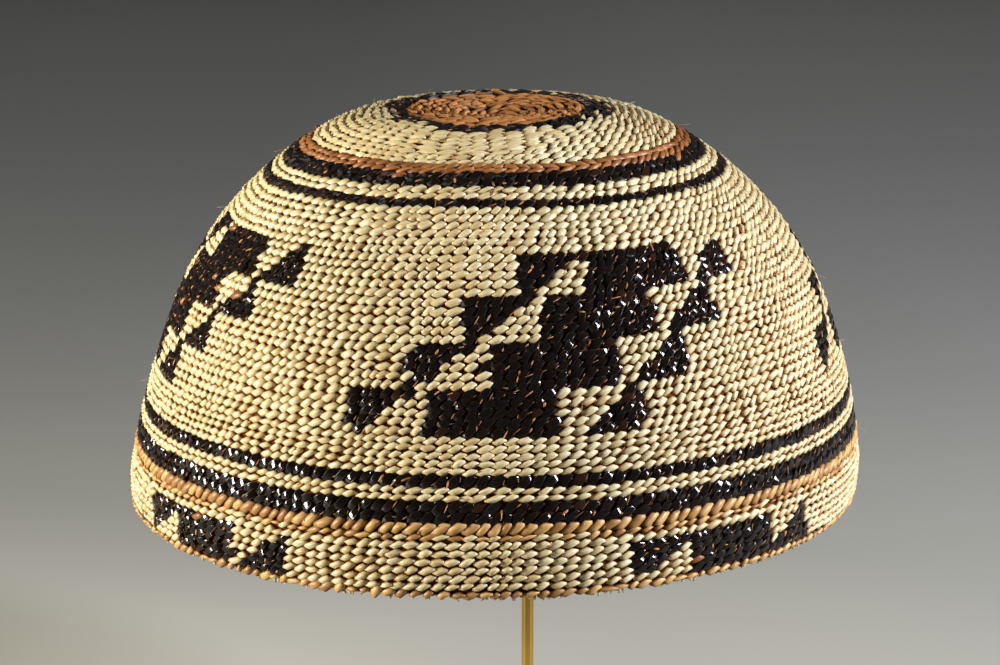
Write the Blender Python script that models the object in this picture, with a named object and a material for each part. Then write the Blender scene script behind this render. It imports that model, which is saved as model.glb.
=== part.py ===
# Twined basket cap on a plain brass stand. Metres, +Z up, front at -Y.
# The origin is the middle of the base's underside, below the post.

from collections import namedtuple
from math import radians, tau

import bmesh
import bpy
from mathutils import Vector

# The woven cap
rim_radius = 0.089
cap_height = 0.0927  # from the rim to the highest ring of the crown
wall = 0.0024  # the bent weft on both sides of a warp
lip_round = 0.0007  # on both edges of the rim
crown_lean = 0.0012  # how far the crown's middle stands to the right of the rim's
side_bow = 0.0013  # how far the rings at mid-height stand out to the right
tip_forward = radians(1.6)  # the front of the rim hangs lower
tip_sideways = radians(0.7)  # the right of the rim sits higher
cap_from_post = Vector((-0.0085, 0.0013))  # the rim's middle from the post, seen from above

# The stand
stand_height = 0.167  # from the table to the top of the head
base_radius = 0.055
base_thickness = 0.006
post_radius = 0.0015
head_radius = 0.028
head_thickness = 0.006
socket_floor = 0.002  # what the base and the head keep behind the post's ends
edge_round = 0.001  # on the base and the head

clearance = 0.0003  # between pieces that stand in or rest on each other

# How finely round things are made
cap_sides = 72
stand_sides = 48
post_sides = 16
spans_per_section = 2

# The cap's outline from the rim to the middle of its crown, which is dished. Height is a share
# of cap_height and radius a share of rim_radius.
Section = namedtuple("Section", "height radius")
cap_sections = (
    Section(0.000, 0.996),
    Section(0.085, 1.000),
    Section(0.250, 0.968),
    Section(0.412, 0.919),
    Section(0.573, 0.853),
    Section(0.722, 0.753),
    Section(0.850, 0.621),
    Section(0.951, 0.464),
    Section(0.990, 0.350),
    Section(1.000, 0.230),
    Section(0.990, 0.110),
    Section(0.969, 0.000),
)

# A corner of a turned outline: its distance from the axis, its height, and its rounding
Corner = namedtuple("Corner", "radius height rounding", defaults=(0.0,))


def clear_scene():
    for old in list(bpy.data.objects):
        bpy.data.objects.remove(old, do_unlink=True)


def make_material(name, colour, roughness, metallic):
    material = bpy.data.materials.new(name)
    material.use_nodes = True
    shader = material.node_tree.nodes["Principled BSDF"]
    shader.inputs["Base Color"].default_value = (*colour, 1.0)
    shader.inputs["Roughness"].default_value = roughness
    shader.inputs["Metallic"].default_value = metallic
    return material


def smooth_through(knots, spans):
    """A Catmull-Rom curve through the knots, with this many spans between each two."""
    ends = [2 * knots[0] - knots[1], *knots, 2 * knots[-1] - knots[-2]]
    curve = []
    for before, start, end, after in zip(ends, ends[1:], ends[2:], ends[3:]):
        for span in range(spans):
            t = span / spans
            linear = (end - before) * t
            square = (2 * before - 5 * start + 4 * end - after) * t**2
            cubic = (3 * start - before - 3 * end + after) * t**3
            curve.append(start + (linear + square + cubic) / 2)
    return [*curve, knots[-1]]


def one_wall_inside(outer):
    """The inner side of the wall, square to the outer one and ending on the axis."""
    inner = []
    for before, point, after in zip([outer[0], *outer], outer, [*outer[1:], outer[-1]]):
        along = (after - before).normalized()
        inner.append(point + Vector((-along.y, along.x)) * wall)
    inner[-1] = Vector((0, outer[-1].y - wall))
    return inner


def rounded_points(corners):
    """The corners as points, with two short chords in place of each rounded one."""
    points = []
    for before, corner, after in zip([corners[0], *corners], corners, [*corners[1:], corners[-1]]):
        point = Vector((corner.radius, corner.height))
        if not corner.rounding:
            points.append(point)
            continue
        start = point + (Vector(before[:2]) - point).normalized() * corner.rounding
        end = point + (Vector(after[:2]) - point).normalized() * corner.rounding
        points += [start, (start + 2 * point + end) / 4, end]
    return points


def turned_mesh(name, corners, sides):
    """A closed mesh turned about the Z axis from an outline that starts and ends on it."""
    bm = bmesh.new()
    profile = [bm.verts.new((point.x, 0, point.y)) for point in rounded_points(corners)]
    edges = [bm.edges.new(pair) for pair in zip(profile, profile[1:])]
    bmesh.ops.spin(
        bm, geom=edges, cent=(0, 0, 0), axis=(0, 0, 1), angle=tau, steps=sides, use_merge=True
    )
    bmesh.ops.remove_doubles(bm, verts=bm.verts, dist=1e-6)
    bmesh.ops.recalc_face_normals(bm, faces=bm.faces)
    mesh = bpy.data.meshes.new(name)
    bm.to_mesh(mesh)
    bm.free()
    mesh.shade_smooth()
    mesh.set_sharp_from_angle(angle=radians(40))
    return mesh


def add_object(name, mesh, material):
    mesh.materials.append(material)
    item = bpy.data.objects.new(name, mesh)
    bpy.context.collection.objects.link(item)
    return item


def woven_cap(straw):
    """The cap, tipped on the stand so that its crown lies just clear of the head."""
    knots = [Vector((row.radius * rim_radius, row.height * cap_height)) for row in cap_sections]
    outer = smooth_through(knots, spans_per_section)
    inner = one_wall_inside(outer)[::spans_per_section]
    lip = min(lip_round, 0.4 * wall)
    corners = [Corner(*point) for point in outer[:0:-1]]
    corners += [Corner(*outer[0], lip), Corner(*inner[0], lip)]
    corners += [Corner(*point) for point in inner[1:]]
    mesh = turned_mesh("woven_cap", corners, cap_sides)
    for vertex in mesh.vertices:
        share = vertex.co.z / cap_height
        vertex.co.x += crown_lean * share + 4 * side_bow * share * (1 - share)
    cap = add_object("woven_cap", mesh, straw)
    cap.rotation_euler = (tip_forward, -tip_sideways, 0)
    cap.location = (*cap_from_post, 0)
    cap.location.z = stand_height + clearance - lowest_over_head(cap)
    return cap


def lowest_over_head(cap):
    """Height of the lowest point of the cap over the head, with the rim's middle at height 0."""
    reach = head_radius + rim_radius / cap_sides
    turn = cap.rotation_euler.to_matrix()
    placed = [turn @ vertex.co + cap.location for vertex in cap.data.vertices]
    return min(point.z for point in placed if point.xy.length < reach)


def stand_base(brass):
    socket = post_radius + clearance
    corners = [
        Corner(0, 0),
        Corner(base_radius, 0, edge_round),
        Corner(base_radius, base_thickness, edge_round),
        Corner(socket, base_thickness),
        Corner(socket, socket_floor),
        Corner(0, socket_floor),
    ]
    return add_object("stand_base", turned_mesh("stand_base", corners, stand_sides), brass)


def stand_post(brass):
    start = socket_floor + clearance
    length = stand_height - 2 * start
    corners = [Corner(0, 0), Corner(post_radius, 0), Corner(post_radius, length), Corner(0, length)]
    post = add_object("stand_post", turned_mesh("stand_post", corners, post_sides), brass)
    post.location.z = start
    return post


def stand_head(brass):
    socket = post_radius + clearance
    corners = [
        Corner(0, head_thickness),
        Corner(head_radius, head_thickness, edge_round),
        Corner(head_radius, 0, edge_round),
        Corner(socket, 0),
        Corner(socket, head_thickness - socket_floor),
        Corner(0, head_thickness - socket_floor),
    ]
    head = add_object("stand_head", turned_mesh("stand_head", corners, stand_sides), brass)
    head.location.z = stand_height - head_thickness
    return head


clear_scene()
woven_cap(make_material("twined bear grass and root", (0.76, 0.61, 0.36), 0.6, 0.0))
stand_base(make_material("turned brass", (0.80, 0.62, 0.28), 0.35, 1.0))
stand_post(make_material("drawn brass rod", (0.80, 0.62, 0.28), 0.28, 1.0))
stand_head(make_material("turned brass, hidden", (0.80, 0.62, 0.28), 0.4, 1.0))
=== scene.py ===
from collections import namedtuple
from math import cos, pi, radians, sin, tau

import bmesh
import bpy
import numpy as np
from mathutils import Matrix, Vector
from mathutils.bvhtree import BVHTree


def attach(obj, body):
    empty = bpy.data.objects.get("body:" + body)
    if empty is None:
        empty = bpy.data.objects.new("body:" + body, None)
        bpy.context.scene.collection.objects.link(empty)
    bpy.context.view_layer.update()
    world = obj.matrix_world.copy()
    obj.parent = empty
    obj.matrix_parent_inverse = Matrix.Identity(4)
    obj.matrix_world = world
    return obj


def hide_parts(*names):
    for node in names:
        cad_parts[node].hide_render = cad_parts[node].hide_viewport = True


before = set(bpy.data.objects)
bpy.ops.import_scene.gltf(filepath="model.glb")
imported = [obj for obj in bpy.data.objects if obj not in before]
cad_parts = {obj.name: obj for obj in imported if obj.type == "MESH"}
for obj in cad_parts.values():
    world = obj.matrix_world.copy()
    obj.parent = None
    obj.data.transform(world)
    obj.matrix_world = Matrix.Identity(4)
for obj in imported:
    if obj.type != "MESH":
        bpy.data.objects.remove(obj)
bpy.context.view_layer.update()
mm = 0.001
dice = np.random.default_rng(7)
print("frame loaded")


# Shader helpers

def linearColour(code):
    # an sRGB hex code as the linear colour that a shader takes
    parts = [int(code[i:i + 2], 16) / 255 for i in (1, 3, 5)]
    return [*[p / 12.92 if p <= 0.04045 else ((p + 0.055) / 1.055) ** 2.4 for p in parts], 1.0]


def setSockets(material, node, values):
    # a socket takes a value, a hex colour or another node's output
    for name, value in values.items():
        if isinstance(value, bpy.types.NodeSocket):
            material.node_tree.links.new(value, node.inputs[name])
        else:
            node.inputs[name].default_value = linearColour(value) if isinstance(value, str) else value


def addNode(material, kind, settings=None, sockets=None):
    node = material.node_tree.nodes.new(kind)
    for name, value in (settings or {}).items():
        setattr(node, name, value)
    setSockets(material, node, sockets or {})
    return node


def newMaterial(name):
    material = bpy.data.materials.new(name)
    material.use_nodes = True
    return material, material.node_tree.nodes["Principled BSDF"]


# Plant strands: split by hand, so fine lines run along each, and its edges are browned. The edges and the
# tail are also painted darker, as shade in the gaps and under the next strand.
# The real lines lie about 0.1 mm apart; they are drawn 0.35 mm apart, or they wouldn't show.

strandLines = {
    "along": 0.9,              # how many times they change over a strand's length
    "seedStep": 61.0,          # sets the lines of one strand far from those of the next
    "fromDeep": 0.3,           # the noise value that is fully deep
    "toPale": 0.7,
    "reliefDepth": 0.12 * mm,
    # the tail is painted darker, as the shade that the next strand casts on it
    "tail": 0.3,               # the share of its length that dives under the next strand
    "edgeRoughness": 0.7,      # of browned edges and tails
}


def strandMaterial(name, look):
    material, shader = newMaterial(name)
    tone = addNode(material, "ShaderNodeAttribute", {"attribute_name": "tone"}).outputs["Fac"]
    flat = addNode(material, "ShaderNodeUVMap", {"uv_map": "strand"}).outputs["UV"]
    split = addNode(material, "ShaderNodeSeparateXYZ", sockets={"Vector": flat})
    # lines along the strand, different on each one
    seed = addNode(
        material, "ShaderNodeMath", {"operation": "MULTIPLY"}, {0: tone, 1: strandLines["seedStep"]}
    )
    drawn = addNode(
        material, "ShaderNodeMapping",
        sockets={"Vector": flat, "Scale": (strandLines["along"], look["lines"], 1)},
    )
    lines = addNode(
        material, "ShaderNodeTexNoise", {"noise_dimensions": "4D"},
        {"Vector": drawn.outputs[0], "W": seed.outputs[0], "Scale": 1.0, "Detail": 2.0, "Roughness": 0.6},
    ).outputs["Fac"]
    lined = addNode(
        material, "ShaderNodeMapRange",
        sockets={"Value": lines, "From Min": strandLines["fromDeep"], "From Max": strandLines["toPale"]},
    ).outputs["Result"]
    body = addNode(
        material, "ShaderNodeMix", {"data_type": "RGBA"}, {0: lined, 6: look["deep"], 7: look["pale"]}
    ).outputs[2]
    # whole strands differ from their neighbours
    odd = addNode(
        material, "ShaderNodeMapRange",
        sockets={"Value": tone, "From Min": look["oddFrom"], "From Max": 1.0, "To Max": look["oddMost"]},
    ).outputs["Result"]
    body = addNode(
        material, "ShaderNodeMix", {"data_type": "RGBA"}, {0: odd, 6: body, 7: look["odd"]}
    ).outputs[2]
    # the edges, browned and painted darker as shade in the gaps, and the tail that dives under the next
    # strand, painted darker as its shade
    side = addNode(material, "ShaderNodeMath", {"operation": "SUBTRACT"}, {0: split.outputs["Y"], 1: 0.5})
    side = addNode(material, "ShaderNodeMath", {"operation": "ABSOLUTE"}, {0: side.outputs[0]})
    side = addNode(
        material, "ShaderNodeMapRange", {"interpolation_type": "SMOOTHSTEP"},
        {
            "Value": side.outputs[0], "From Min": look["edgeFrom"], "From Max": 0.5,
            "To Max": look["edgeMost"],
        },
    ).outputs["Result"]
    tail = addNode(
        material, "ShaderNodeMapRange", {"interpolation_type": "SMOOTHSTEP"},
        {
            "Value": split.outputs["X"], "From Min": strandLines["tail"], "From Max": 0.0,
            "To Max": look["edgeMost"],
        },
    ).outputs["Result"]
    edgeBrownAndShade = addNode(material, "ShaderNodeMath", {"operation": "MAXIMUM"}, {0: side, 1: tail}).outputs[0]
    body = addNode(
        material, "ShaderNodeMix", {"data_type": "RGBA"}, {0: edgeBrownAndShade, 6: body, 7: look["edge"]}
    ).outputs[2]
    relief = addNode(
        material, "ShaderNodeBump",
        sockets={"Height": lines, "Strength": look["relief"], "Distance": strandLines["reliefDepth"]},
    ).outputs["Normal"]
    rough = addNode(
        material, "ShaderNodeMapRange",
        sockets={
            "Value": edgeBrownAndShade, "From Max": look["edgeMost"], "To Min": look["roughness"],
            "To Max": strandLines["edgeRoughness"],
        },
    ).outputs["Result"]
    setSockets(material, shader, {
        "Base Color": body,
        "Normal": relief,
        "Roughness": rough,
        "Specular IOR Level": look["specular"],
        "Coat Weight": look["coat"],
        "Coat Roughness": look["coatRoughness"],
    })
    return material


# Bear grass, split and dried to a pale straw yellow: satin, from its waxy outer skin.
creamGrass = strandMaterial("bear grass, split and dried", {
    "pale": "#f0e4b9", "deep": "#ceb97d", "odd": "#bd9b5c", "edge": "#9c5c1a", "lines": 6.0,
    "oddFrom": 0.7, "oddMost": 0.6, "edgeFrom": 0.33, "edgeMost": 0.9, "relief": 0.9,
    "roughness": 0.42, "specular": 0.5, "coat": 0.55, "coatRoughness": 0.13,
})
# Stems of maidenhair fern, flattened: black and naturally polished, with small hard glints.
blackFern = strandMaterial("maidenhair fern stem, polished", {
    "pale": "#1b130e", "deep": "#110c09", "odd": "#3a2012", "edge": "#080605", "lines": 5.0,
    "oddFrom": 0.92, "oddMost": 0.7, "edgeFrom": 0.3, "edgeMost": 0.3, "relief": 0.4,
    "roughness": 0.05, "specular": 0.4, "coat": 0.0, "coatRoughness": 0.1,
})
# Chain fern dyed with alder bark: russet, a little duller than the grass.
russetFern = strandMaterial("chain fern, alder dyed", {
    "pale": "#b87a3b", "deep": "#875121", "odd": "#6e3c17", "edge": "#3c1b08", "lines": 6.0,
    "oddFrom": 0.4, "oddMost": 0.75, "edgeFrom": 0.3, "edgeMost": 0.85, "relief": 0.6,
    "roughness": 0.46, "specular": 0.45, "coat": 0.1, "coatRoughness": 0.35,
})
# The same fern where it was left undyed or has faded, on the middle of the crown: lighter.
fadedFern = strandMaterial("chain fern, faded", {
    "pale": "#e0a05a", "deep": "#ad6c33", "odd": "#8a5023", "edge": "#4a240c", "lines": 6.0,
    "oddFrom": 0.4, "oddMost": 0.75, "edgeFrom": 0.3, "edgeMost": 0.8, "relief": 0.6,
    "roughness": 0.5, "specular": 0.45, "coat": 0.1, "coatRoughness": 0.35,
})
# Hazel shoots, undyed: a lighter tan than the russet bands.
tanShoot = strandMaterial("hazel shoot, scraped", {
    "pale": "#e2b876", "deep": "#b98845", "odd": "#91602d", "edge": "#4d280e", "lines": 6.0,
    "oddFrom": 0.35, "oddMost": 0.85, "edgeFrom": 0.3, "edgeMost": 0.85, "relief": 0.6,
    "roughness": 0.46, "specular": 0.45, "coat": 0.1, "coatRoughness": 0.35,
})
# Spruce root split fine: orange bits that catch the light between the black strands.
rootBits = strandMaterial("spruce root, frayed", {
    "pale": "#d39a58", "deep": "#a8642a", "odd": "#6b3a16", "edge": "#5a2e12", "lines": 4.0,
    "oddFrom": 0.3, "oddMost": 0.95, "edgeFrom": 0.45, "edgeMost": 0.4, "relief": 0.5,
    "roughness": 0.5, "specular": 0.4, "coat": 0.0, "coatRoughness": 0.4,
})
# Spruce root, scraped and split: tan to brown and matt; it makes the inside.
splitRoot = strandMaterial("spruce root, scraped", {
    "pale": "#cf9f62", "deep": "#9f6a36", "odd": "#7d4d26", "edge": "#4f2c13", "lines": 5.0,
    "oddFrom": 0.35, "oddMost": 0.85, "edgeFrom": 0.28, "edgeMost": 0.75, "relief": 0.6,
    "roughness": 0.55, "specular": 0.35, "coat": 0.0, "coatRoughness": 0.4,
})


# The cap's surface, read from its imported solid

capReading = {
    "sectors": 24,        # the rim's lowest corner is looked for in each
    "meridians": 144,     # columns of points round the cap
    "climbs": 91,         # rays down each column, rim to crown
    "stations": 120,      # points up each column once they are spread evenly
    "firstClimb": 0.7,    # degrees over the rim, just past its rounded lip
    "reach": 0.3,         # metres, from where the rays start
    "crownBand": 0.2 * mm,  # the corners this close to the highest one give the crown's middle
}


def readCap(reading):
    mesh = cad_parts["woven_cap"].data
    corners = np.array([vertex.co for vertex in mesh.vertices])
    solid = BVHTree.FromPolygons(corners.tolist(), [tuple(face.vertices) for face in mesh.polygons])
    middle = (corners.min(0) + corners.max(0)) / 2
    bearing = np.arctan2(*(corners[:, :2] - middle[:2]).T)
    sector = np.floor(bearing / tau * reading["sectors"]).astype(int) % reading["sectors"]
    lowest = []
    for k in range(reading["sectors"]):
        here = corners[sector == k]
        lowest.append(here[here[:, 2].argmin()])
    lowest = np.array(lowest)
    slope = np.linalg.lstsq(np.c_[lowest[:, :2], np.ones(len(lowest))], lowest[:, 2], rcond=None)[0]
    up = np.array((-slope[0], -slope[1], 1))
    up /= np.linalg.norm(up)
    right = np.array((1, 0, 0)) - up * up[0]
    right /= np.linalg.norm(right)
    front = np.cross(right, up)
    centre = np.array((middle[0], middle[1], slope[0] * middle[0] + slope[1] * middle[1] + slope[2]))
    turns = np.arange(reading["meridians"]) * tau / reading["meridians"]
    climbs = np.linspace(radians(reading["firstClimb"]), pi / 2, reading["climbs"])

    def cast(turn, climb, aim):
        away = (right * sin(turn) + front * cos(turn)) * cos(climb) + up * sin(climb)
        return np.array(solid.ray_cast(Vector(aim + away * reading["reach"]), Vector(-away))[0])

    ring = np.array([cast(turn, climbs[1], centre) for turn in turns])
    centre = centre + ring.mean(0) - centre - up * ((ring - centre) @ up).mean()
    heights = (corners - centre) @ up
    crown = corners[heights > heights.max() - reading["crownBand"]].mean(0)
    lean = crown - centre - up * ((crown - centre) @ up)
    points = np.array([
        [cast(turn, climb, centre + lean * sin(climb)) for climb in climbs] for turn in turns
    ])
    # the stretch below the first ray, down to the plane of the rim
    first = points[:, 0]
    along = points[:, 1] - first
    along /= np.linalg.norm(along, axis=1)[:, None]
    below = first - along * ((first - centre) @ up)[:, None]
    points = np.concatenate([below[:, None], points], axis=1)
    steps = np.linalg.norm(np.diff(points, axis=1), axis=2)
    run = np.concatenate([np.zeros((len(turns), 1)), np.cumsum(steps, axis=1)], axis=1)
    length = run[:, -1].mean()
    even = np.linspace(0, 1, reading["stations"])
    grid = np.empty((len(turns), len(even), 9))
    for k, (column, at) in enumerate(zip(points, run)):
        for axis in range(3):
            grid[k, :, axis] = np.interp(even, at / at[-1], column[:, axis])
    upward = np.gradient(grid[:, :, :3], axis=1)
    around = np.roll(grid[:, :, :3], -1, axis=0) - np.roll(grid[:, :, :3], 1, axis=0)
    outward = np.cross(around, upward)
    outward[:, -1] = outward[:, -3].mean(0)
    outward[:, -2] = outward[:, -3]
    grid[:, :, 3:6] = upward / np.linalg.norm(upward, axis=2)[:, :, None]
    grid[:, :, 6:] = outward / np.linalg.norm(outward, axis=2)[:, :, None]
    spread = np.linalg.norm(around, axis=2).mean(0) / (2 * tau / len(turns))
    return {"grid": grid, "length": length, "spread": spread}


cap = readCap(capReading)
wall = 2.4 * mm
print("cap read: %.1f mm from rim to crown" % (cap["length"] / mm))


def onCap(turn, climb):
    # place and across, up and out directions; turn is in radians, climb in metres up from the rim
    grid = cap["grid"]
    column = np.asarray(turn) / tau % 1 * len(grid)
    row = np.clip(climb / cap["length"], 0, 1) * (grid.shape[1] - 1)
    left = column.astype(int)
    low = np.minimum(row.astype(int), grid.shape[1] - 2)
    x = (column - left)[:, None]
    y = (row - low)[:, None]
    left = left % len(grid)
    right = (left + 1) % len(grid)
    value = (grid[left, low] * (1 - x) + grid[right, low] * x) * (1 - y)
    value = value + (grid[left, low + 1] * (1 - x) + grid[right, low + 1] * x) * y
    out = value[:, 6:] / np.linalg.norm(value[:, 6:], axis=1)[:, None]
    across = np.cross(value[:, 3:6], out)
    across /= np.linalg.norm(across, axis=1)[:, None]
    up = np.cross(out, across)
    place = value[:, :3] + up * np.minimum(climb, 0)[:, None]
    return place, across, up, out


def spreadAt(climb):
    # metres along a row for each radian of turn
    return np.interp(climb / cap["length"], np.linspace(0, 1, len(cap["spread"])), cap["spread"])


# The rows of the weave

Band = namedtuple("Band", "weave rows high")  # from the rim up; high in mm
bands = [
    Band("rim", 1, 1.8),
    Band("rimMotif", 6, 11.0),
    Band("tan", 1, 1.5),
    Band("tanRope", 1, 2.4),
    Band("black", 2, 4.7),
    Band("cream", 2, 3.3),
    Band("black", 1, 2.5),
    Band("cream", 5, 8.6),
    Band("mainMotif", 20, 40.6),
    Band("cream", 6, 12.4),
    Band("black", 1, 2.2),
    Band("cream", 2, 3.9),
    Band("black", 2, 4.3),
    Band("russet", 2, 3.6),
    Band("cream", 8, 16.8),
    Band("crownRing", 3, 6.4),
    Band("disc", 10, 22.3),
]
belowRim = 1.0 * mm  # the first row hangs this far below the solid's lip
Warps = namedtuple("Warps", "climb count")  # how many warps a row crosses, by its height in mm
warpCounts = [
    Warps(0, 204), Warps(1.5, 200), Warps(12.7, 192), Warps(35, 190), Warps(56, 177), Warps(75.6, 160),
    Warps(82, 138), Warps(88.7, 114), Warps(98.8, 97), Warps(103, 84), Warps(110, 61), Warps(117, 50),
    Warps(126, 34), Warps(136, 22), Warps(143, 12), Warps(147.5, 7),
]
Row = namedtuple("Row", "weave index climb high")  # climb and high in metres


def layRows():
    scale = (cap["length"] + belowRim) / sum(band.high for band in bands)
    rows = []
    climb = -belowRim
    for band in bands:
        high = band.high * scale / band.rows
        for index in range(band.rows):
            rows.append(Row(band.weave, index, climb + high / 2, high))
            climb += high
    return rows


warpGrowth = {
    "first": 6,               # warps at the middle of the crown
    "choice": (0.75, 1.25),   # so that it isn't always the very widest gap
    "ease": 0.22,             # how far a warp moves between its neighbours from one row to the next
    "discEase": 0.3,
    "wander": 0.055,          # of the gap between two warps, in each row
}


def gapsBetween(warps):
    # the turn from each warp to the next
    return np.diff(np.append(warps, warps[0] + tau))


def runOf(row, warps):
    # the metres along the row that each stitch has to cover
    gaps = gapsBetween(warps)
    return (gaps + np.roll(gaps, 1)) / 2 * spreadAt(row.climb)


def growWarps(rows, growth):
    # from the crown outwards, as the weaver adds them: each new warp goes into one of the widest gaps
    counts = np.array(warpCounts).T
    scale = cap["length"] / counts[0, -1]
    warps = np.arange(growth["first"]) * tau / growth["first"]
    perRow = []
    for row in reversed(rows):
        wanted = round(float(np.interp(row.climb / scale, counts[0], counts[1])))
        while len(warps) < wanted:
            gaps = gapsBetween(warps)
            some = min(wanted - len(warps), len(warps))
            widest = np.argsort(gaps * dice.uniform(*growth["choice"], len(gaps)))[-some:]
            warps = np.sort(np.append(warps, warps[widest] + gaps[widest] / 2))
        before = np.roll(warps, 1)
        before[0] -= tau
        after = np.roll(warps, -1)
        after[-1] += tau
        ease = growth["discEase"] if row.weave == "disc" else growth["ease"]
        warps = warps * (1 - 2 * ease) + (before + after) * ease
        warps = warps + dice.normal(0, growth["wander"] * tau / len(warps), len(warps))
        perRow.append(warps.copy())
    return perRow[::-1]


rows = layRows()
warpsOfRow = growWarps(rows, warpGrowth)
print("%d rows, %d stitches" % (len(rows), sum(len(warps) for warps in warpsOfRow)))


# The chart: which strand shows over each warp. Turns are in degrees from the front, to the right.

Block = namedtuple("Block", "start end")  # of the black block on each step, bottom step first
stepBlocks = [Block(-10.0, 10.5), Block(-1.2, 20.0), Block(8.0, 29.0), Block(17.5, 37.5)]
triangleReach = 12.6  # degrees from the block to the far side of the triangle beside it
RimFigure = namedtuple("RimFigure", "start blockStart blockEnd end")
rimFigures = [
    RimFigure(19.6, 30.0, 44.8, 53.4),
    RimFigure(-64.0, -54.5, -41.2, -31.6),
    RimFigure(109.0, 119.5, 133.5, 142.5),
    RimFigure(-158.0, -147.5, -134.0, -125.0),
]
stepRows = 5
figureEvery = 90  # degrees; the steps come four times round
figureFrom = -32  # degrees, in the gap before the first step
strays = {
    "creamInRing": (0.4, 0.12),  # share of the stitches in the ring's first and second row
    "russetInBlack": 0.012,
    "creamInTan": 0.2,
    "braid": (2, 70),            # degrees; here the russet band's upper row slants the other way
}


def mainFigure(row, turn, pitch):
    # four steps that climb to the right, a triangle at both sides of each block, four times round
    block = stepBlocks[row.index // stepRows]
    down = stepRows - 1 - row.index % stepRows
    turn = (turn - figureFrom) % figureEvery + figureFrom
    left = block.start - triangleReach
    left = (turn > left) & (turn < left + (stepRows - down) * pitch)
    right = block.end + triangleReach
    right = (turn > right - (1 + down) * pitch) & (turn < right)
    return left | right | ((turn > block.start) & (turn < block.end))


def rimFigure(row, turn, pitch):
    black = np.zeros(len(turn), bool)
    if row.index >= stepRows:
        return black
    down = stepRows - 1 - row.index
    for figure in rimFigures:
        here = (turn - figure.start + 180) % 360 - 180 + figure.start
        black |= (here > figure.start) & (here < figure.start + (stepRows - down) * pitch)
        black |= (here > figure.blockStart) & (here < figure.blockEnd)
        black |= (here > figure.end - (1 + down) * pitch) & (here < figure.end)
    return black


def strandOf(row, warps):
    # the kind of stitch over each warp of a row
    turn = (np.degrees(warps) + 180) % 360 - 180
    pitch = 360 / len(warps)
    plain = {"rimMotif": "cream", "mainMotif": "cream", "crownRing": "black", "disc": "crown"}
    names = np.full(len(warps), plain.get(row.weave, row.weave), dtype="<U8")
    if row.weave == "mainMotif":
        names[mainFigure(row, turn, pitch)] = "black"
    if row.weave == "rimMotif":
        names[rimFigure(row, turn, pitch)] = "black"
    if row.weave == "crownRing" and row.index < len(strays["creamInRing"]):
        names[dice.random(len(warps)) < strays["creamInRing"][row.index]] = "cream"
    if row.weave in ("black", "mainMotif", "rimMotif"):
        names[(names == "black") & (dice.random(len(warps)) < strays["russetInBlack"])] = "russet"
    if row.weave == "tan":
        names[dice.random(len(warps)) < strays["creamInTan"]] = "cream"
    if row.weave == "russet":
        names[:] = "rope"
        if row.index == 1:
            names[(turn > strays["braid"][0]) & (turn < strays["braid"][1])] = "braid"
    return names


# No row runs quite level. Those near the crown ride high at the front, and the crown's ring and
# disc lie nearer the front. How far, in mm, at heights in mm; at and wide are in degrees.
rises = [
    {
        "at": -4, "wide": 34,
        "climbs": (60, 90, 97, 103, 119, 125, 147), "mm": (0, 1.3, 1.7, 0.6, -2.2, -3.8, 0),
    },
    {"at": -80, "wide": 40, "climbs": (97, 103, 119, 125, 147), "mm": (0, 0, 1, 0.5, 0)},
]
Wave = namedtuple("Wave", "high times")  # high in mm, or as a share of the gap between two warps
wavering = {
    "slow": Wave(0.22, 3),
    "slowTwist": 9,           # mm up the cap in which it moves on by a radian
    "quick": Wave(0.14, 8),
    "quickStart": 2,          # radians
}
drifting = {"slow": Wave(0.2, 3), "quick": Wave(0.16, 7), "fades": (85, 103)}  # fades in mm up the cap


def rowWaves(row, warps, climb):
    waves = np.zeros(len(warps))
    if row.weave == "rim":
        return waves
    if row.weave != "disc":
        slow, quick = wavering["slow"], wavering["quick"]
        waves = slow.high * np.sin(slow.times * warps + row.climb / mm / wavering["slowTwist"])
        waves = waves + quick.high * np.sin(quick.times * warps + wavering["quickStart"])
    for rise in rises:
        off = ((np.degrees(warps) + 180 - rise["at"]) % 360 - 180) / rise["wide"]
        waves = waves + np.interp(climb / mm, rise["climbs"], rise["mm"]) * np.exp(-(off**2))
    return waves * mm


def driftOf(row, warps):
    # the stitches of one row do not stand squarely over those of the next
    slow, quick = drifting["slow"], drifting["quick"]
    drift = slow.high * np.sin(slow.times * warps + dice.uniform(0, tau))
    drift = drift + quick.high * np.sin(quick.times * warps + dice.uniform(0, tau))
    return drift * gapsBetween(warps) * np.interp(row.climb / mm, drifting["fades"], (1, 0))


def chartStitches():
    # every stitch of the outside as columns of numbers, under the name of its kind
    stitches = {}
    for row, warps in zip(rows, warpsOfRow):
        wide = runOf(row, warps)
        warps = warps + driftOf(row, warps)
        low = row.climb - row.high / 2 + rowWaves(row, warps, row.climb - row.high / 2)
        top = row.climb + row.high / 2 + rowWaves(row, warps, row.climb + row.high / 2)
        names = strandOf(row, warps)
        columns = np.stack([warps, (low + top) / 2, wide, top - low])
        for name in set(names):
            stitches.setdefault(str(name), []).append(columns[:, names == name])
    return {name: np.concatenate(parts, axis=1) for name, parts in stitches.items()}


# One stitch, and many of them as one mesh

Form = namedtuple("Form", "corners faces uvs")

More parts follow.
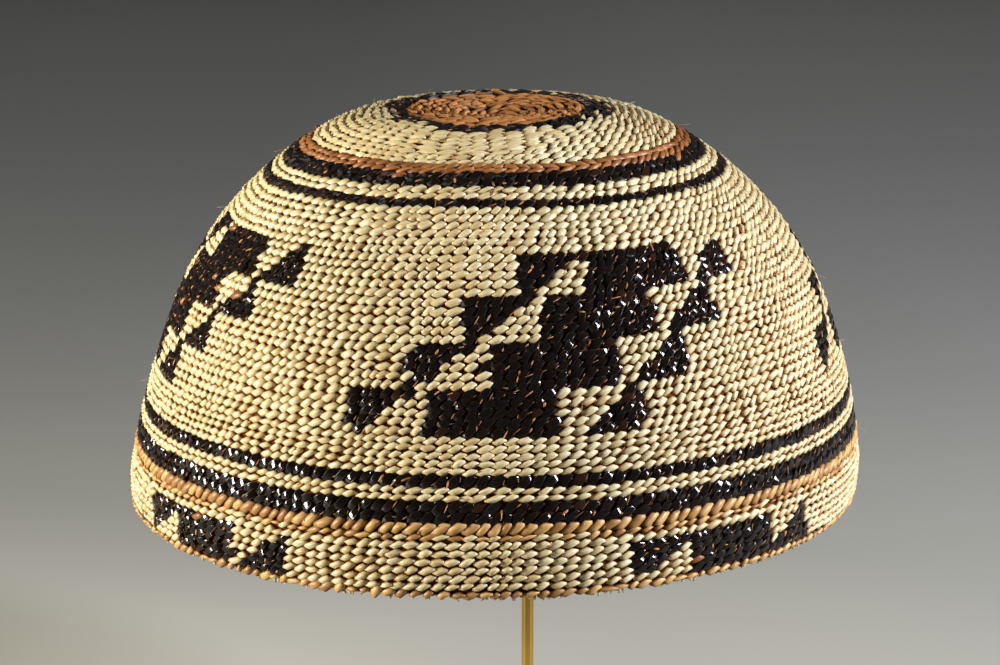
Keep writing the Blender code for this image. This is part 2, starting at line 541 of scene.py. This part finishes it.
# A stitch is a plump leaf with a point at each end. It is broadest on its upper side near one
# end and on its lower side near the other, so it slants; its tail runs on under its neighbour.
stitchShape = {
    "alongCuts": 5,
    "acrossCuts": 4,
    "along": (0.62, 0.27),     # half of the stitch's run, as shares of the warp gap and the row
    "across": (0.05, -0.56),   # half of its width, as the same shares
    "broadest": 0.3,           # where along it each side is broadest, 0 middle to 1 end
    "start": 0.45,             # how broad each side is at its other end
    "point": 0.1,              # and at the end that it points to
    "top": 0.35 * mm,          # over the solid's surface
    "edge": -0.9 * mm,
    "ridge": -0.15,            # where it stands highest across, -1 upper side to 1 lower side
    "fall": 0.62 * mm,         # from the ridge to its sides
    "tail": 0.38 * mm,
    "nose": 0.32 * mm,
    "tailFrom": 0.2,           # where along it the tail and the nose begin to dip
    "noseFrom": 0.3,
    "roundness": 1.6,          # 1 a roof, 2 a round back
    "ringsAlong": ((0, 0.6, 1), (0, 0.9, 1)),    # even cuts, and where they go: the outer two
    "ringsAcross": ((0, 0.5, 1), (0, 0.85, 1)),  # rings lie close together, so the sides are steep
}


def stitchForm(shape):
    bm = bmesh.new()
    bmesh.ops.create_grid(bm, x_segments=shape["alongCuts"], y_segments=shape["acrossCuts"], size=1)
    layer = bm.loops.layers.uv.new("strand")
    for vertex in bm.verts:
        vertex.co.x = np.sign(vertex.co.x) * np.interp(abs(vertex.co.x), *shape["ringsAlong"])
        vertex.co.y = np.sign(vertex.co.y) * np.interp(abs(vertex.co.y), *shape["ringsAcross"])
    for face in bm.faces:
        for loop in face.loops:
            loop[layer].uv = (loop.vert.co.x / 2 + 0.5, loop.vert.co.y / 2 + 0.5)
    for vertex in bm.verts:
        t, u = vertex.co.x, vertex.co.y
        side = t if u < 0 else -t
        half = np.interp(side, (-1, shape["broadest"], 1), (shape["start"], 1, shape["point"]))
        vertex.co.x = shape["along"][0] * t + shape["across"][0] * u * half
        vertex.co.y = shape["along"][1] * t + shape["across"][1] * u * half
        tail = max(0, (shape["tailFrom"] - t) / (1 + shape["tailFrom"]))
        nose = max(0, (t - shape["noseFrom"]) / (1 - shape["noseFrom"]))
        vertex.co.z = shape["top"] - shape["fall"] * abs(u - shape["ridge"]) ** shape["roundness"]
        vertex.co.z -= shape["tail"] * tail**2 + shape["nose"] * nose**2
        if vertex.is_boundary:
            vertex.co.z = shape["edge"]
    border = [edge for edge in bm.edges if edge.is_boundary]
    bmesh.ops.contextual_create(bm, geom=border)
    bmesh.ops.recalc_face_normals(bm, faces=bm.faces)
    if bm.calc_volume(signed=True) < 0:  # so thin a form can be turned inside out
        bmesh.ops.reverse_faces(bm, faces=bm.faces)
    return readForm(bm)


def readForm(bm):
    bm.verts.index_update()
    layer = bm.loops.layers.uv.get("strand")
    corners = np.array([vertex.co for vertex in bm.verts])
    faces = [[vertex.index for vertex in face.verts] for face in bm.faces]
    uvs = np.array([loop[layer].uv if layer else (0.5, 0.5) for face in bm.faces for loop in face.loops])
    bm.free()
    return Form(corners, faces, uvs)


def joinCopies(
    name, form, material, turn, climb, wide, high, deep=None, roll=None, tilt=None, lift=0.0, inside=False
):
    # one mesh of copies of a form, each sized in the plane of the weave, turned by roll and tilted
    place, across, up, out = onCap(turn, climb)
    if inside:
        place = place - out * wall
        across, out = -across, -out
    count = len(place)
    roll = np.zeros(count) if roll is None else roll
    deep = np.ones(count) if deep is None else deep
    tilt = np.zeros((2, count)) if tilt is None else tilt
    x = form.corners[:, 0] * wide[:, None]
    y = form.corners[:, 1] * high[:, None]
    turnedX = x * np.cos(roll)[:, None] - y * np.sin(roll)[:, None]
    turnedY = x * np.sin(roll)[:, None] + y * np.cos(roll)[:, None]
    z = form.corners[:, 2] * deep[:, None] + lift
    z = z + turnedX * tilt[0][:, None] + turnedY * tilt[1][:, None]
    corners = place[:, None] + turnedX[..., None] * across[:, None] + turnedY[..., None] * up[:, None]
    corners = corners + z[..., None] * out[:, None]
    return meshOfCopies(name, form, material, corners)


def meshOfCopies(name, form, material, corners):
    count, perCopy = corners.shape[:2]
    sizes = [len(face) for face in form.faces]
    loops = np.concatenate(form.faces)
    starts = np.cumsum([0, *sizes[:-1]])
    copies = np.arange(count)[:, None]
    mesh = bpy.data.meshes.new(name)
    mesh.vertices.add(count * perCopy)
    mesh.vertices.foreach_set("co", corners.ravel().astype(np.float32))
    mesh.loops.add(count * len(loops))
    mesh.loops.foreach_set("vertex_index", (loops + copies * perCopy).ravel().astype(np.int32))
    mesh.polygons.add(count * len(sizes))
    mesh.polygons.foreach_set("loop_start", (starts + copies * len(loops)).ravel().astype(np.int32))
    mesh.uv_layers.new(name="strand").uv.foreach_set("vector", np.tile(form.uvs, (count, 1)).ravel())
    tone = mesh.attributes.new("tone", "FLOAT", "POINT")
    tone.data.foreach_set("value", np.repeat(dice.random(count), perCopy).astype(np.float32))
    mesh.update(calc_edges=True)
    mesh.shade_smooth()
    return addPiece(name, mesh, material)


def addPiece(name, mesh, material):
    mesh.materials.append(material)
    piece = bpy.data.objects.new(name, mesh)
    bpy.context.collection.objects.link(piece)
    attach(piece, "root")
    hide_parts("woven_cap")
    print("%s: %d faces" % (name, len(mesh.polygons)))
    return piece


# The outside of the cap

outside = {
    "widthPlay": 0.07,
    "heightPlay": 0.07,
    "depthPlay": 0.15,
    "depths": (0.7, 1.4),     # the least and the most
    "rollPlay": radians(4),
    "tiltPlay": 0.1,          # rise per unit of run
    "shift": 0.07 * mm,
}


def weave(name, form, material, columns, play=outside):
    turn, climb, wide, high = columns
    count = len(turn)
    wide = wide * dice.normal(1, play["widthPlay"], count)
    high = high * dice.normal(1, play["heightPlay"], count)
    deep = dice.normal(1, play["depthPlay"], count).clip(*play["depths"])
    climb = climb + dice.normal(0, play["shift"], count)
    roll = dice.normal(0, play["rollPlay"], count)
    tilt = dice.normal(0, play["tiltPlay"], (2, count))
    return joinCopies(name, form, material, turn, climb, wide, high, deep, roll, tilt)


stitches = chartStitches()
plump = stitchForm(stitchShape)
deepSet = stitchForm({
    **stitchShape, "across": (0.05, -0.5), "fall": 1.0 * mm, "tail": 0.7 * mm, "nose": 0.6 * mm,
})
flat = stitchForm({
    **stitchShape, "along": (0.52, 0.56), "across": (0.24, -0.34), "start": 0.7, "point": 0.4,
    "top": 0.25 * mm, "edge": -0.6 * mm, "fall": 0.12 * mm, "tail": 0.65 * mm, "nose": 0.6 * mm,
})
ropeShape = {
    **stitchShape, "along": (0.7, 0.5), "across": (0.15, -0.52), "fall": 0.5 * mm, "tail": 0.6 * mm,
}
rope = stitchForm(ropeShape)
braid = stitchForm({**ropeShape, "along": (0.7, -0.5), "across": (-0.15, -0.52)})
leaf = stitchForm({
    **ropeShape, "along": (0.8, 0.42), "across": (0.13, -0.46),
    "top": 0.1 * mm, "fall": 0.62 * mm, "tail": 1.1 * mm,
})

# The cream stitches in four belts, by shares of the way up; the lowest takes in the rim's edge.
Belt = namedtuple("Belt", "name start end form")
creamBelts = [
    Belt("Low", -1, 0.2, plump),
    Belt("Middle", 0.2, 0.45, plump),
    Belt("High", 0.45, 0.64, plump),
    Belt("Crown", 0.64, 1, deepSet),
]
cream = stitches["cream"]
for belt in creamBelts:
    here = (cream[1] >= belt.start * cap["length"]) & (cream[1] < belt.end * cap["length"])
    weave("creamStitches" + belt.name, belt.form, creamGrass, cream[:, here])

# The other kinds. Play is what differs from the outside's own.
Kind = namedtuple("Kind", "name form material strand play")
kinds = [
    Kind("blackStitches", flat, blackFern, "black", {"rollPlay": radians(10), "tiltPlay": 0.12}),
    Kind("russetStitches", plump, russetFern, "russet", {"widthPlay": 0.2, "depthPlay": 0.3}),
    Kind("tanStitches", plump, tanShoot, "tan", {"widthPlay": 0.2, "heightPlay": 0.2}),
    Kind("tanRope", rope, tanShoot, "tanRope", {}),
    Kind("russetRope", rope, russetFern, "rope", {}),
    Kind("russetBraid", braid, russetFern, "braid", {}),
    Kind("crownStitches", leaf, fadedFern, "crown", {"rollPlay": radians(9), "tiltPlay": 0.2}),
    Kind("rimStitches", plump, tanShoot, "rim", {"widthPlay": 0.2, "heightPlay": 0.2}),
]
for kind in kinds:
    piece = weave(kind.name, kind.form, kind.material, stitches[kind.strand], {**outside, **kind.play})
    if kind.form is flat:
        piece.data.set_sharp_from_angle(angle=radians(40))  # flattened stems have crisp sides
print("outside woven")


# Slivers of the root below, which show between the black stitches

rootSlivers = {
    "shares": {"black": 0.7, "cream": 0.08, "tanRope": 0.3},  # of the gaps between stitches of each kind
    "long": 0.75,             # half length in mm
    "longSpread": 0.4,
    "longMost": 2.2,          # times as long
    "thick": 0.1,             # half width in mm
    "thickSpread": 0.6,
    "thickMost": 3.2,         # times as thick
    "least": 0.4,             # times as long or thick
    "shift": 0.5 * mm,        # up or down
    "lean": radians(44),
    "leanPlay": radians(20),
    "tiltPlay": 0.1,          # rise per unit of run
    "lift": 0.02 * mm,
}


def sliverForm():
    bm = bmesh.new()
    bmesh.ops.create_icosphere(bm, subdivisions=1, radius=1)
    return readForm(bm)


def addSlivers(settings):
    parts = []
    for name, share in settings["shares"].items():
        parts.append(stitches[name][:, dice.random(stitches[name].shape[1]) < share])
    turn, climb, wide, _ = np.concatenate(parts, axis=1)
    count = len(turn)
    turn = turn + 0.5 * wide / spreadAt(climb)
    least = settings["least"]
    longer = dice.lognormal(0, settings["longSpread"], count).clip(least, settings["longMost"])
    thicker = dice.lognormal(0, settings["thickSpread"], count).clip(least, settings["thickMost"])
    half = settings["long"] * longer * mm
    thin = settings["thick"] * thicker * mm
    climb = climb + dice.normal(0, settings["shift"], count)
    roll = settings["lean"] + dice.normal(0, settings["leanPlay"], count)
    tilt = dice.normal(0, settings["tiltPlay"], (2, count))
    return joinCopies(
        "rootSlivers", sliverForm(), rootBits, turn, climb, half, thin, thin, roll, tilt, settings["lift"]
    )


addSlivers(rootSlivers)


# The inside: plain twining in root, one stitch over each warp of each row

insideShape = {
    **stitchShape, "alongCuts": 3, "acrossCuts": 2, "top": 0.05 * mm, "edge": -0.6 * mm, "fall": 0.3 * mm,
    "tail": 0.4 * mm,
}


def weaveInside():
    plain = stitchForm(insideShape)
    columns = []
    for row, warps in zip(rows, warpsOfRow):
        climb = np.full(len(warps), row.climb)
        high = np.full(len(warps), row.high)
        columns.append(np.stack([warps, climb, runOf(row, warps), high]))
    turn, climb, wide, high = np.concatenate(columns, axis=1)
    roll = dice.normal(0, outside["rollPlay"], len(turn))
    return joinCopies("rootTwiningInside", plain, splitRoot, turn, climb, wide, high, roll=roll, inside=True)


weaveInside()
print("inside woven")


# The ground between the two faces of the weave, which closes every gap

ground = {
    "round": 96,
    "climbing": 48,
    "outerDepth": 0.8 * mm,
    "innerDepth": 1.65 * mm,
    "merge": 0.02 * mm,      # closes the seam and the crown's middle
}
# The backs of the root strands, deep in the gaps: dull, and painted darker than the root's own tan, as
# shade.
shadedGroundLook = {
    "dark": "#2c1404", "light": "#7a4413",
    "grain": 900.0,          # patches to the metre, each about 1.1 mm
    "roughness": 0.9, "specular": 0.1,
}


def groundMaterial(look):
    material, shader = newMaterial("spruce root in the gaps, painted shade")
    place = addNode(material, "ShaderNodeTexCoord").outputs["Object"]
    grain = addNode(
        material, "ShaderNodeTexNoise", sockets={"Vector": place, "Scale": look["grain"]}
    ).outputs["Fac"]
    body = addNode(
        # painted shade: the backs are coloured dark brown, as the shade deep in the gaps
        material, "ShaderNodeMix", {"data_type": "RGBA"}, {0: grain, 6: look["dark"], 7: look["light"]}
    ).outputs[2]
    setSockets(material, shader, {
        "Base Color": body, "Roughness": look["roughness"], "Specular IOR Level": look["specular"],
    })
    return material


def addGround(settings, material):
    bm = bmesh.new()
    bmesh.ops.create_grid(bm, x_segments=settings["round"], y_segments=settings["climbing"], size=0.5)
    turn = np.array([vertex.co.x + 0.5 for vertex in bm.verts]) * tau
    climb = np.array([vertex.co.y + 0.5 for vertex in bm.verts]) * cap["length"]
    place, _, _, out = onCap(turn, climb)
    for vertex, corner in zip(bm.verts, place - out * settings["outerDepth"]):
        vertex.co = corner
    bmesh.ops.remove_doubles(bm, verts=bm.verts, dist=settings["merge"])
    bmesh.ops.recalc_face_normals(bm, faces=bm.faces)
    bmesh.ops.solidify(bm, geom=bm.faces, thickness=settings["innerDepth"] - settings["outerDepth"])
    mesh = bpy.data.meshes.new("rootGround")
    bm.to_mesh(mesh)
    bm.free()
    mesh.shade_smooth()
    return addPiece("rootGround", mesh, material)


addGround(ground, groundMaterial(shadedGroundLook))


# The cut warp ends under the rim, frayed and pale

warpEnds = {
    "count": 240,
    "sides": 5,
    "tip": 0.6,              # as a share of the other end
    "long": (0.25, 0.65),    # half sizes in mm
    "thick": (0.12, 0.4),
    "deep": (0.2, 0.45),
    "scatter": 0.3,          # of the even space between two
    "lean": radians(28),
    "hang": 0.35,            # how far below the first row, as a share of the half length
    "sunk": 0.9 * mm,        # under the cap's surface
}


def addWarpEnds(settings):
    bm = bmesh.new()
    bmesh.ops.create_cone(
        bm, cap_ends=True, segments=settings["sides"], radius1=1, radius2=settings["tip"], depth=2
    )
    bmesh.ops.rotate(bm, verts=bm.verts, cent=(0, 0, 0), matrix=Matrix.Rotation(pi / 2, 3, "X"))
    form = readForm(bm)
    turn = dice.choice(warpsOfRow[0], settings["count"])
    count = len(turn)
    turn = turn + dice.normal(0, settings["scatter"] * tau / count, count)
    long = dice.uniform(*settings["long"], count) * mm
    thick = dice.uniform(*settings["thick"], count) * mm
    roll = dice.normal(0, settings["lean"], count)
    deep = dice.uniform(*settings["deep"], count) * mm
    climb = -belowRim - settings["hang"] * long
    return joinCopies(
        "warpEnds", form, creamGrass, turn, climb, thick, long, deep, roll, lift=-settings["sunk"]
    )


addWarpEnds(warpEnds)


# Fine hairs that have worked loose and stand off the weave

hairs = {
    "count": 70,
    "sides": 4,
    "tip": 0.3,              # as a share of the root's width
    "long": (0.8, 2.8),      # half sizes in mm
    "thick": 0.05,
    "stand": (0.3, 2.0),     # rise over the whole length, as a share of the half length
    "climbs": (0.05, 0.8),   # shares of the way up, before crowding
    "crowding": 1.3,         # over 1 crowds them to the rim
    "rooted": 0.8,           # how much of the rise lies over the weave
}


def addHairs(settings):
    bm = bmesh.new()
    bmesh.ops.create_cone(
        bm, cap_ends=True, segments=settings["sides"], radius1=1, radius2=settings["tip"], depth=2
    )
    bmesh.ops.rotate(bm, verts=bm.verts, cent=(0, 0, 0), matrix=Matrix.Rotation(pi / 2, 3, "X"))
    form = readForm(bm)
    count = settings["count"]
    turn = dice.uniform(0, tau, count)
    climb = dice.uniform(*settings["climbs"], count) ** settings["crowding"] * cap["length"]
    long = dice.uniform(*settings["long"], count) * mm
    thick = np.full(count, settings["thick"] * mm)
    roll = dice.uniform(0, tau, count)
    tilt = np.stack([-np.sin(roll), np.cos(roll)]) * dice.uniform(*settings["stand"], count) / 2
    lift = (long * np.hypot(*tilt))[:, None] * settings["rooted"]
    return joinCopies("strayHairs", form, tanShoot, turn, climb, thick, long, thick, roll, tilt, lift)


addHairs(hairs)
print("rim finished")


# Brass

brassWear = {
    "cloud": 45.0,           # patches to the metre, each about 22 mm
    "fromBright": 0.35,      # the noise value that is fully bright
    "toAged": 0.7,
    "relief": 0.15,
    "reliefDepth": 0.05 * mm,
}


def brassMaterial(name, look):
    material, shader = newMaterial(name)
    place = addNode(material, "ShaderNodeTexCoord").outputs["Object"]
    drawn = addNode(material, "ShaderNodeMapping", sockets={"Vector": place, "Scale": look["grain"]})
    grain = addNode(
        material, "ShaderNodeTexNoise", sockets={"Vector": drawn.outputs[0], "Scale": 1.0, "Detail": 4.0}
    ).outputs["Fac"]
    cloud = addNode(
        material, "ShaderNodeTexNoise",
        sockets={"Vector": place, "Scale": brassWear["cloud"], "Detail": 3.0},
    ).outputs["Fac"]
    tint = addNode(
        material, "ShaderNodeMapRange",
        sockets={"Value": cloud, "From Min": brassWear["fromBright"], "From Max": brassWear["toAged"]},
    ).outputs["Result"]
    colour = addNode(
        material, "ShaderNodeMix", {"data_type": "RGBA"}, {0: tint, 6: look["bright"], 7: look["aged"]}
    ).outputs[2]
    rough = addNode(
        material, "ShaderNodeMapRange",
        sockets={"Value": grain, "To Min": look["smooth"], "To Max": look["rough"]},
    ).outputs["Result"]
    relief = addNode(
        material, "ShaderNodeBump",
        sockets={"Height": grain, "Strength": brassWear["relief"], "Distance": brassWear["reliefDepth"]},
    ).outputs["Normal"]
    setSockets(material, shader, {
        "Base Color": colour,
        "Roughness": rough,
        "Normal": relief,
        "Metallic": 1.0,
        "Anisotropic": look["pulled"],
    })
    return material


# Brass, turned on a lathe and lacquered: fine rings and a soft warm shine. Grain is in lines to
# the metre, across, across and up.
turnedBrass = brassMaterial("brass, turned", {
    "bright": "#d9b45a", "aged": "#b48a3a", "grain": (300, 300, 3000),
    "smooth": 0.22, "rough": 0.42, "pulled": 0.4,
})
# Brass rod as drawn: fine lines along it.
drawnBrass = brassMaterial("brass rod, drawn", {
    "bright": "#dcb95c", "aged": "#b8913f", "grain": (2500, 2500, 60),
    "smooth": 0.07, "rough": 0.16, "pulled": 0.0,
})
for node, material in (("stand_base", turnedBrass), ("stand_post", drawnBrass), ("stand_head", turnedBrass)):
    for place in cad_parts[node].material_slots:
        place.material = material
print("brass finished")


# Floor, lights and camera

# The grey that the sheet has at distances from the stand, in metres: painted light and shade that change
# with the distance; the lights do the rest.
Shade = namedtuple("Shade", "far colour")
stage = {
    "floorRadius": 4.0,
    # painted light: a pale patch round shadowAt cancels the cap's shadow on the sheet
    "shadowAt": (-0.17, 0.06, 0.0),  # the middle of the cap's shadow on the sheet
    "shadowWide": 0.22,
    "shadowLift": 1.35,              # how much paler the sheet is there
    # painted shade: the sheet is darker in front of the stand, so that the brass rod reflects a dark floor
    "frontShade": 0.25,              # what is left of its brightness in front of the stand
    "frontEnds": -0.26,              # where it gets that dark, out of the main view
    # painted light: the sheet grows paler from left to right, more so further behind the stand
    "leftToRight": (0.88, 1.12),     # its brightness at the two sides of the picture
    "sideSlope": 0.1,                # x over the camera's distance, times y, that is fully a side
    "cameraFar": 0.66,               # in front of the stand
    "shades": [
        Shade(0.1, "#b4b3aa"), Shade(0.22, "#9e9f97"), Shade(0.5, "#8b8d8a"), Shade(0.9, "#919391"),
        Shade(1.4, "#acadac"), Shade(2.0, "#cecfcd"),
    ],
}


def addFloor(settings):
    bm = bmesh.new()
    bmesh.ops.create_circle(bm, cap_ends=True, segments=96, radius=settings["floorRadius"])
    mesh = bpy.data.meshes.new("floor")
    bm.to_mesh(mesh)
    bm.free()
    material, shader = newMaterial("paper sweep, matt")
    place = addNode(material, "ShaderNodeTexCoord").outputs["Object"]
    farthest = settings["shades"][-1].far
    far = addNode(material, "ShaderNodeVectorMath", {"operation": "LENGTH"}, {0: place}).outputs["Value"]
    far = addNode(material, "ShaderNodeMath", {"operation": "DIVIDE"}, {0: far, 1: farthest}).outputs[0]
    # painted light and shade: the sheet's grey is set by its distance from the stand
    ramp = addNode(material, "ShaderNodeValToRGB", sockets={"Fac": far})
    ramp.color_ramp.interpolation = "B_SPLINE"
    marks = ramp.color_ramp.elements
    for index, shade in enumerate(settings["shades"]):
        mark = marks[index] if index < len(marks) else marks.new(shade.far / farthest)
        mark.position = shade.far / farthest
        mark.color = linearColour(shade.colour)
    split = addNode(material, "ShaderNodeSeparateXYZ", sockets={"Vector": place})
    # painted light: paler towards the right, more so further behind the stand
    away = addNode(material, "ShaderNodeMath", sockets={0: split.outputs["Y"], 1: settings["cameraFar"]})
    side = addNode(
        material, "ShaderNodeMath", {"operation": "DIVIDE"}, {0: split.outputs["X"], 1: away.outputs[0]}
    )
    side = addNode(
        material, "ShaderNodeMath", {"operation": "MULTIPLY"}, {0: side.outputs[0], 1: split.outputs["Y"]}
    )
    low, high = settings["leftToRight"]
    side = addNode(
        material, "ShaderNodeMapRange",
        sockets={
            "Value": side.outputs[0], "From Min": -settings["sideSlope"],
            "From Max": settings["sideSlope"], "To Min": low, "To Max": high,
        },
    ).outputs["Result"]
    # the cap's shadow falls at the left of the stand, where the photo's sheet stays pale
    # painted light: the sheet is made paler round shadowAt, over the cap's shadow
    spot = addNode(
        material, "ShaderNodeVectorMath", {"operation": "DISTANCE"}, {0: place, 1: settings["shadowAt"]}
    ).outputs["Value"]
    spot = addNode(
        material, "ShaderNodeMapRange", {"interpolation_type": "SMOOTHSTEP"},
        {
            "Value": spot, "From Min": settings["shadowWide"], "From Max": 0.0,
            "To Min": 1.0, "To Max": settings["shadowLift"],
        },
    ).outputs["Result"]
    paler = addNode(material, "ShaderNodeMath", {"operation": "MULTIPLY"}, {0: side, 1: spot}).outputs[0]
    # painted shade: darker in front of the stand
    front = addNode(
        material, "ShaderNodeMapRange", {"interpolation_type": "SMOOTHSTEP"},
        {
            "Value": split.outputs["Y"], "From Min": 0.0, "From Max": settings["frontEnds"],
            "To Min": 1.0, "To Max": settings["frontShade"],
        },
    ).outputs["Result"]
    paler = addNode(material, "ShaderNodeMath", {"operation": "MULTIPLY"}, {0: paler, 1: front}).outputs[0]
    colour = addNode(
        material, "ShaderNodeVectorMath", {"operation": "SCALE"}, {0: ramp.outputs["Color"], "Scale": paler}
    ).outputs["Vector"]
    setSockets(material, shader, {"Base Color": colour, "Roughness": 0.9})
    mesh.materials.append(material)
    floor = bpy.data.objects.new("floor", mesh)
    bpy.context.collection.objects.link(floor)
    return floor


def addLight(name, place, aim, wide, watts, colour):
    lamp = bpy.data.lights.new(name, "AREA")
    lamp.shape = "DISK"
    lamp.size = wide
    lamp.energy = watts
    lamp.color = linearColour(colour)[:3]
    light = bpy.data.objects.new(name, lamp)
    light.location = place
    light.rotation_euler = (Vector(aim) - Vector(place)).to_track_quat("-Z", "Y").to_euler()
    bpy.context.collection.objects.link(light)
    return light


Light = namedtuple("Light", "name place wide watts colour")
lights = [
    Light("leftSoftbox", (-1.06, -0.22, 0.24), 0.3, 22.5, "#fff6e6"),
    Light("rightSoftbox", (1.02, -0.28, 0.45), 0.3, 23.4, "#f4f5ff"),
    Light("upperLeftSoftbox", (-0.5, 0.2, 1.0), 0.4, 0.4, "#fff8ee"),
]
lampsAim = (0, 0, 0.12)
room = {"colour": "#8c8d8a", "strength": 0.2}  # the light that comes back from the walls
view = {
    "place": (-0.0069, -0.663, 0.2619),
    "down": 12.34,  # degrees
    "lens": 100,    # mm, on a full frame
    "frame": 36,
}


def addRoom(settings):
    world = bpy.data.worlds.new("studio")
    world.use_nodes = True
    background = world.node_tree.nodes["Background"].inputs
    background["Color"].default_value = linearColour(settings["colour"])
    background["Strength"].default_value = settings["strength"]
    bpy.context.scene.world = world
    bpy.context.scene.view_settings.view_transform = "Standard"


def addCamera(settings):
    lens = bpy.data.cameras.new("camera")
    lens.lens = settings["lens"]
    lens.sensor_width = settings["frame"]
    camera = bpy.data.objects.new("camera", lens)
    camera.location = settings["place"]
    camera.rotation_euler = (radians(90 - settings["down"]), 0, 0)
    bpy.context.collection.objects.link(camera)
    bpy.context.scene.camera = camera


addFloor(stage)
for light in lights:
    addLight(light.name, light.place, lampsAim, light.wide, light.watts, light.colour)
addRoom(room)
addCamera(view)
print("stage set")
